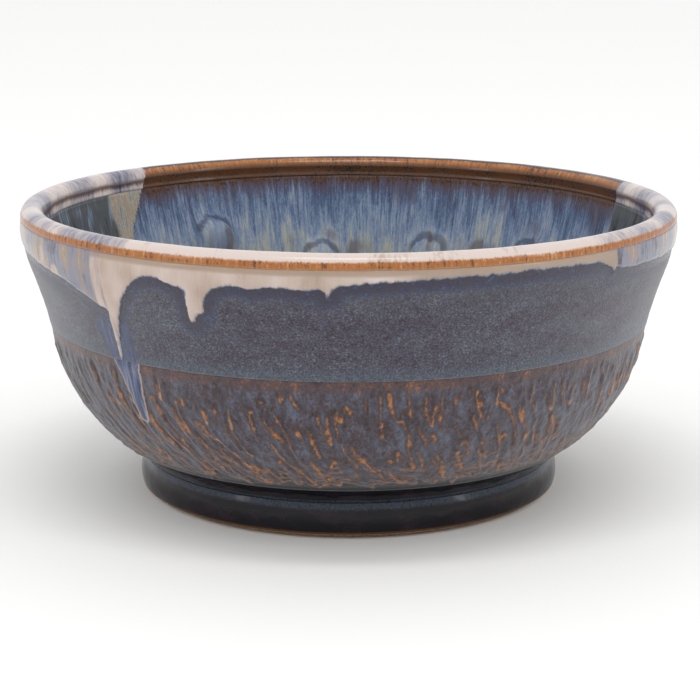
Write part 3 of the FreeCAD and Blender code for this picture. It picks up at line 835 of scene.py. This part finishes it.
def comb_marks(coat, lean):
    """The comb's ridges, from 0 to 1, the slabs beside them, and where the slip isn't wiped."""
    gap, length = sizes().ridge_gap / MM, sizes().ridge_length / MM
    half = sizes().ridge_width / MM / 2
    long_marks = winding_lines(coat, gap, length, lean, 41)
    short_marks = winding_lines(coat, 0.6 * gap, 0.5 * length, lean, 42)
    patches = grain(coat.points(1.1 * gap, 0.7 * length, lean), 43)
    fine_patches = grain(coat.points(0.8 * gap, 0.4 * length, lean), 44)
    # To the left of the rivulet the marks are lower, and run on without a break.
    left = ease(-coat.around, 44, 62) * ease(coat.around, -150, -120)
    held = np.maximum(ease(patches, -0.25, 0.0), 0.8 * left)
    ridge = np.exp(-((long_marks / half) ** 2)) * held
    ridge = np.maximum(ridge, 0.8 * np.exp(-((short_marks / (0.7 * half)) ** 2))
                       * ease(fine_patches, -0.05, 0.15))
    slab = np.tanh(long_marks / 0.22) * np.exp(-((long_marks / 1.2) ** 2)) * held
    # Below the band the slip was wiped nearly smooth.
    rough = ease(grain(coat.points(4, 3), 45) + coat.down / 4, 0.2, 0.9)
    wiped = ease(coat.down, 1.2, 3.4) * rough
    return ridge * (wiped * (1 - 0.45 * left)), slab * wiped, wiped


def torn_foot(coat, lean):
    """Cracks low on the slip, from 0 to 1, and the height over its torn lower edge."""
    tears = winding_lines(coat, 5.0, 1.9, lean, 46)
    low = ease(coat.down, 18.0, 27.0)
    crack = np.exp(-((tears / 0.30) ** 2)) * low * ease(grain(coat.points(3, 3), 47), -0.15, 0.15)
    torn = BARK_FOOT + 1.7 + 1.3 * grain(coat.points(2.2, 40, lean), 48)
    torn = torn + 1.3 * grain(coat.points(0.9, 1.6, lean), 49)
    return crack, coat.height - torn


def bark_relief(coat):
    """Height of the bark over its frame face, and the fields that its glaze reads."""
    # The comb was drawn down and round, so its marks lean more towards the foot.
    lean = 0.013 * coat.down**2 + 1.2 * grain(coat.points(14, 14), 40)
    ridge, slab, wiped = comb_marks(coat, lean)
    crack, rag = torn_foot(coat, lean)
    lumps = 0.18 * grain(coat.points(1.6, 3.5, lean), 50) + 0.16 * grain(coat.points(0.8, 1.0), 51)
    rise = -0.26 + sizes().bark_rise / MM * (0.65 * ridge + 0.45 * slab) + lumps * wiped
    rise -= sizes().crack_depth / MM * crack
    # The torn edge is a little thicker, and below it there is no slip.
    rise = rise + 0.12 * ease(rag, 2.5, 0.3) * ease(rag, -0.1, 0.2)
    rise = np.where(rag > 0, rise, -0.68)
    rivulet = run_distance(coat, RIVULET, coat.section.r[:, None])
    rivulet = rivulet + 0.35 * grain(coat.points(1.2, 4), 52)
    covered = ease(rivulet, -0.2, 0.9)
    rise = rise + (0.05 + 0.12 * grain(coat.points(0.9, 6), 53) - rise) * covered
    # Both ends stay under the coats beside them.
    rise = np.where(coat.down < 0.6, np.minimum(rise, -0.3), rise)
    # The slip's thickness is measured level, so it is thinner square to the wall low down.
    rise = np.where(rise < 0, np.maximum(rise, -0.7) * coat.section.normal_r[:, None], rise)
    marks = {"ridge": soften(ridge, 1), "crack": crack, "rag": rag, "rivulet": rivulet}
    return soften(rise, 1), marks


def knob_heights(coat):
    """How far the lather knobs stand out of the lining's face, in millimetres."""
    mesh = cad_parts["lather_knobs"].data
    tree = BVHTree.FromPolygons(
        [vertex.co / MM for vertex in mesh.vertices], [face.vertices for face in mesh.polygons]
    )
    reach = 12.0
    heights = np.zeros(coat.shape)
    lowest, highest = (corner.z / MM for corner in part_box("lather_knobs"))
    for row, (r, z) in enumerate(zip(coat.section.r, coat.section.z)):
        if not lowest - 1 < z < highest + 1:
            continue
        normal_r, normal_z = coat.section.normal_r[row], coat.section.normal_z[row]
        for column, turn in enumerate(coat.theta):
            across = Vector((math.cos(turn), math.sin(turn), 0.0))
            normal = across * normal_r + Vector((0.0, 0.0, normal_z))
            start = across * r + Vector((0.0, 0.0, z)) + normal * reach
            hit = tree.ray_cast(start, -normal, reach)
            if hit[0] is not None:
                heights[row, column] = reach - hit[3]
    return heights


def poured_inside(coat):
    """1 where the poured glaze ran down inside, from the left round the front to the right."""
    heights, places = np.array(INNER_LEFT).T
    left_edge = np.interp(coat.height, heights, places)
    left = offset_mm(coat.around, left_edge, INNER_RADIUS) + 0.25 * grain(coat.points(1.0, 4), 61)
    right = offset_mm(coat.around, INNER_RIGHT, INNER_RADIUS)
    right = right + 0.5 * grain(coat.points(1.5, 9), 62)
    return np.where(coat.around < 0, ease(left, -0.3, 0.3), ease(-right, -0.8, 0.8))


def lining_face(thickness=0.4, step=0.8):
    """Section of the lining's face: the clay's inner wall, a glaze's thickness nearer the axis."""
    clay = face_line(("clay_body",), (0.0, 58.0), inward=True, highest=CLAY_TOP - 1.5)
    clay = [(0.0, clay[0][1]), *[corner for corner in clay if corner[0] > 1.0]]
    reach, height = np.array(clay).T
    clay = [corner for corner in clay if corner[1] < LINER_TOP - 0.1]
    clay.append((np.interp(LINER_TOP, height[1:], reach[1:]), LINER_TOP))
    wall = section_of(clay, step, inward=True)
    reach = np.maximum(wall.r + thickness * wall.normal_r, 0.0)
    height = wall.z + thickness * wall.normal_z
    return section_of(list(zip(reach, height)), step, inward=True)


def filled_turns(section):
    """How much thicker the glaze lies where it filled the turns of the wall, in millimetres."""
    near = 5
    weights = np.ones(2 * near + 1) / (2 * near + 1)
    face = np.stack([section.r, section.z])
    even = np.array([np.convolve(np.pad(line, near, "edge"), weights, "valid") for line in face])
    normals = np.stack([section.normal_r, section.normal_z])
    fill = np.clip(((even - face) * normals).sum(axis=0) + 0.25, 0.0, 0.8)
    return fill * ease(section.path[-1] - section.path, 0.0, 3.0)


class BOWL_OT_liner(bpy.types.Operator):
    """Models the lining of the bowl, with the knobs that it covers"""

    bl_idname = "bowl.liner"
    bl_label = "Lining"

    def execute(self, context):
        coat = Turned("floating_blue_lining", lining_face(), 720, 0.35)
        knobs = knob_heights(coat)
        mound = soften(knobs, 12)
        swell = np.maximum(mound, knobs) + 0.2 * ease(mound, 0.0, 0.8)
        ripple = 0.08 * grain(coat.points(30, 5), 63) + 0.07 * grain(coat.points(6, 9), 64)
        # The middle of the floor stays flat, because all the columns meet there.
        away = ease(coat.section.r[:, None], 6.0, 14.0)
        coat.work((swell + ripple + filled_turns(coat.section)[:, None]) * away)
        fall = -np.gradient(mound, coat.step, axis=0)
        ragged = mound + 0.5 * grain(coat.points(2.2, 3.5), 65) + 0.3 * grain(coat.points(0.9, 2), 66)
        rim = ease(ragged, 0.1, 0.5) * ease(ragged, 1.9, 1.1)
        coat.store("knob_rim", rim * ease(fall, 0.0, 0.35))
        coat.store("knob_top", ease(mound, 1.2, 2.8))
        # Lower down the poured streaks sink into the blue.
        sunk = coat.height + 9.0 * grain(coat.points(3.0, 16), 68)
        inside = poured_inside(coat) * (0.15 + 0.85 * ease(sunk, 28.0, 44.0))
        coat.store("inside", inside)
        # A thick cream run lies a few millimetres from the left edge of what was poured.
        from_edge = offset_mm(coat.around, -126.5, INNER_RADIUS)
        from_edge = from_edge + 1.6 * grain(coat.points(3.0, 12), 67)
        thick = 0.8 * ease(from_edge, 7.0, 3.5) * ease(coat.around, -60, -90)
        coat.store("thick", thick * inside)
        coat.finish("inner_glaze", slot="liner_glaze", material=liner_glaze())
        return {"FINISHED"}


class BOWL_OT_lip(bpy.types.Operator):
    """Models the glazed bead of the lip"""

    bl_idname = "bowl.lip"
    bl_label = "Lip"

    def execute(self, context):
        corners = face_line(("lip_glaze",), (67.45, 59.0))
        coat = Turned("lip_glaze_bead", section_of(corners, 0.22), 720, 0.35)
        rise = sizes().wobble / MM * (
            grain(coat.points(9, 4), 70) + 0.5 * grain(coat.points(2.5, 2), 71)
        )
        coat.work(rise * ease(coat.up, 0.0, 1.0))
        from_front = np.abs(offset_mm(coat.around, 2.0, WIDEST))
        spread = 52.0 + 8 * grain(coat.points(12, 40), 72)
        coat.store("cream", ease(spread - from_front, -6, 6))
        coat.store("across", coat.up)
        coat.store("poured", poured_inside(coat))
        coat.finish("lip_glaze", slot="lip_glaze", material=lip_glaze())
        return {"FINISHED"}


class BOWL_OT_collar(bpy.types.Operator):
    """Models the poured glaze below the lip, with its runs"""

    bl_idname = "bowl.collar"
    bl_label = "Poured glaze"

    def execute(self, context):
        corners = face_line(("band_glaze", "collar_glaze"), (0.0, 48.0))
        coat = Turned("poured_cream_collar", section_of(corners, 0.42), 960, 0.5)
        inside = poured_distance(coat)
        # Outside its edge the sheet sinks this far into the band, out of sight.
        sunk = 0.38
        sheet = -sunk + (sizes().cream_rise / MM + sunk) * ease(inside, -0.7, 0.6)
        tips = 0.22 * ease(inside, 0.2, 1.0) * ease(coat.height, 56.0, 50.0)
        top = ease(coat.down, 0.0, 2.2)
        coat.work((sheet + tips) * top + 0.02 * (1 - top))
        coat.store("edge", inside)
        coat.store("cream", cream_share(coat))
        under_lip = ease(coat.height, COLLAR_TOP - 1.6, COLLAR_TOP - 0.3)
        coat.store("buff", np.maximum(under_lip, ease(coat.around, 2, 16)))
        coat.finish("collar_glaze", "glaze_runs", slot="cream_glaze", material=cream_glaze())
        return {"FINISHED"}


class BOWL_OT_band(bpy.types.Operator):
    """Models the satin band round the middle of the bowl"""

    bl_idname = "bowl.band"
    bl_label = "Band"

    def execute(self, context):
        corners = face_line(("band_glaze", "collar_glaze"), (0.0, 48.0))
        coat = Turned("satin_blue_band", section_of(corners, 0.42), 960, 0.4)
        inside = poured_distance(coat)
        rings = 0.05 * grain(coat.points(60, 1.6), 80) + 0.05 * grain(coat.points(7, 5), 81)
        # It lies a little thicker at its foot, and thinner under the poured glaze.
        rise = rings * ease(coat.up, 0, 2) - 0.3 * ease(inside, 0.1, 0.9)
        coat.work(rise + 0.08 * ease(coat.up, 3, 0.5))
        coat.store("edge", inside)
        washed = run_distance(coat, RIVULET, coat.section.r[:, None])
        coat.store("wash", ease(washed, -1.0, 1.5) * ease(coat.height, 49.0, 43.0))
        coat.finish("band_glaze", slot="matte_blue_glaze", material=band_glaze())
        return {"FINISHED"}


class BOWL_OT_bark(bpy.types.Operator):
    """Models the bark-textured slip round the belly"""

    bl_idname = "bowl.bark"
    bl_label = "Bark"

    def execute(self, context):
        corners = face_line(("bark_slip",), (0.0, 42.0))
        coat = Turned("torn_bark_slip", section_of(corners, 0.40), 1100, 0.46)
        rise, marks = bark_relief(coat)
        coat.work(rise)
        for name, field in marks.items():
            coat.store(name, field)
        coat.finish("bark_slip", slot="bark_slip", material=bark_slip())
        return {"FINISHED"}


class BOWL_OT_foot(bpy.types.Operator):
    """Models the dark glaze of the neck, the foot and the recess under the bowl"""

    bl_idname = "bowl.foot"
    bl_label = "Foot"

    def execute(self, context):
        material = dark_glaze()
        corners = face_line(("neck_glaze",), (0.0, 24.0))
        neck = Turned("neck_glaze_coat", section_of(corners, 0.3), 600, 0.4)
        neck.work(0.05 * grain(neck.points(6, 3), 90))
        neck.store("blue", ease(neck.up, 1.6, 0.0) * 0.8)
        neck.store("thin", 0.35 * ease(grain(neck.points(9, 30), 91), 0.1, 0.5))
        neck.finish("neck_glaze", slot="dark_glaze", material=material)

        corners = face_line(("foot_glaze",), (0.0, 4.0))
        foot = Turned("foot_glaze_coat", section_of(corners, 0.25), 720, 0.4)
        foot.work(0.05 * grain(foot.points(9, 4), 92))
        foot.store("blue", ease(foot.down, 2.6, 0.6))
        foot.store("thin", ease(foot.up, 0.9, 0.1))
        foot.finish("foot_glaze", slot="dark_glaze", material=material)

        corners = face_line(("recess_glaze",), (0.0, 60.0), highest=7.3)
        corners = [(0.0, corners[0][1]), *corners]
        recess = Turned("recess_glaze_disc", section_of(corners, 0.8), 360, 0.4)
        # The trimming tool left a spiral, 3 mm from turn to turn.
        spiral = np.sin(recess.up * 2.1 + recess.theta[None, :])
        recess.work(0.05 * spiral * ease(recess.section.r[:, None], 4, 9))
        recess.store("blue", 0.3)
        recess.store("thin", 0.0)
        recess.finish("recess_glaze", slot="dark_glaze", material=material)
        return {"FINISHED"}


class BOWL_OT_clay(bpy.types.Operator):
    """Gives the frame's own clay pieces their bare stoneware"""

    bl_idname = "bowl.clay"
    bl_label = "Clay"

    def execute(self, context):
        material = stoneware()
        for node in ("clay_body", "foot_ring", "lather_knobs"):
            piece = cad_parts[node]
            piece.data.materials.clear()
            piece.data.materials.append(material)
        return {"FINISHED"}


class BOWL_OT_stage(bpy.types.Operator):
    """Sets the pale floor, the soft studio light and the camera"""

    bl_idname = "bowl.stage"
    bl_label = "Stage"

    def execute(self, context):
        scene = context.scene
        bpy.ops.object.select_all(action="DESELECT")
        # The floor lies a hair below the foot, so their faces don't lie in one plane.
        bpy.ops.mesh.primitive_plane_add(size=12.0, location=(0.0, 0.0, -0.0001))
        floor = context.object
        floor.name = "studio_floor"
        bpy.ops.object.transform_apply(location=True)
        paper = Glaze("matte_studio_paper", Roughness=0.9, IOR=1.3)
        paper.shader.inputs["Base Color"].default_value = colours().floor
        floor.data.materials.append(paper.material)

        scene.world = bpy.data.worlds.new("white_tent")
        scene.world.use_nodes = True
        background = scene.world.node_tree.nodes["Background"]
        background.inputs["Color"].default_value = (1.0, 1.0, 1.0, 1.0)
        background.inputs["Strength"].default_value = 1.0

        middle = Vector((0.0, 0.0, 0.031))
        for name, place, breadth, depth, power in (
            ("top_strip", (0.0, -0.22, 0.95), 0.42, 0.08, 1.6),
            ("left_strip", (-0.95, -0.55, 0.55), 0.10, 0.60, 0.9),
            ("right_strip", (0.95, -0.45, 0.55), 0.10, 0.60, 0.9),
        ):
            bpy.ops.object.light_add(type="AREA", location=place)
            light = context.object
            light.name = name
            light.data.shape = "RECTANGLE"
            light.data.size, light.data.size_y = breadth, depth
            light.data.energy = power
            light.rotation_euler = (middle - light.location).to_track_quat("-Z", "Y").to_euler()

        elevation, distance = math.radians(12.95), 0.4664
        away = Vector((0.0, -math.cos(elevation), math.sin(elevation)))
        bpy.ops.object.camera_add(location=middle + away * distance)
        camera = context.object
        camera.rotation_euler = (-away).to_track_quat("-Z", "Y").to_euler()
        camera.data.lens, camera.data.sensor_width = 109.76, 36.0
        camera.data.shift_x, camera.data.shift_y = 0.002, -0.0153
        camera.data.clip_start = 0.01
        scene.camera = camera
        scene.view_settings.view_transform = "Standard"
        return {"FINISHED"}


OPERATORS = (
    BOWL_OT_liner, BOWL_OT_lip, BOWL_OT_collar, BOWL_OT_band, BOWL_OT_bark, BOWL_OT_foot,
    BOWL_OT_clay, BOWL_OT_stage,
)


class BOWL_PT_panel(bpy.types.Panel):
    """Lists the pieces of the bowl"""

    bl_idname = "BOWL_PT_panel"
    bl_label = "Lather bowl"
    bl_space_type = "VIEW_3D"
    bl_region_type = "UI"
    bl_category = "Lather bowl"

    def draw(self, context):
        for operator in OPERATORS:
            self.layout.operator(operator.bl_idname)
        for group in (context.scene.bowl_sizes, context.scene.bowl_colours):
            box = self.layout.box()
            for name in group.bl_rna.properties.keys():
                if name not in ("rna_type", "name"):
                    box.prop(group, name)


CLASSES = (BowlSizes, GlazeColours, *OPERATORS, BOWL_PT_panel)


def register():
    for item in CLASSES:
        bpy.utils.register_class(item)
    bpy.types.Scene.bowl_sizes = bpy.props.PointerProperty(type=BowlSizes)
    bpy.types.Scene.bowl_colours = bpy.props.PointerProperty(type=GlazeColours)


def unregister():
    del bpy.types.Scene.bowl_colours
    del bpy.types.Scene.bowl_sizes
    for item in reversed(CLASSES):
        bpy.utils.unregister_class(item)


def main():
    register()
    bpy.ops.bowl.liner()
    bpy.ops.bowl.lip()
    bpy.ops.bowl.collar()
    bpy.ops.bowl.band()
    bpy.ops.bowl.bark()
    bpy.ops.bowl.foot()
    bpy.ops.bowl.clay()
    bpy.ops.bowl.stage()


if __name__ == "__main__":
    main()
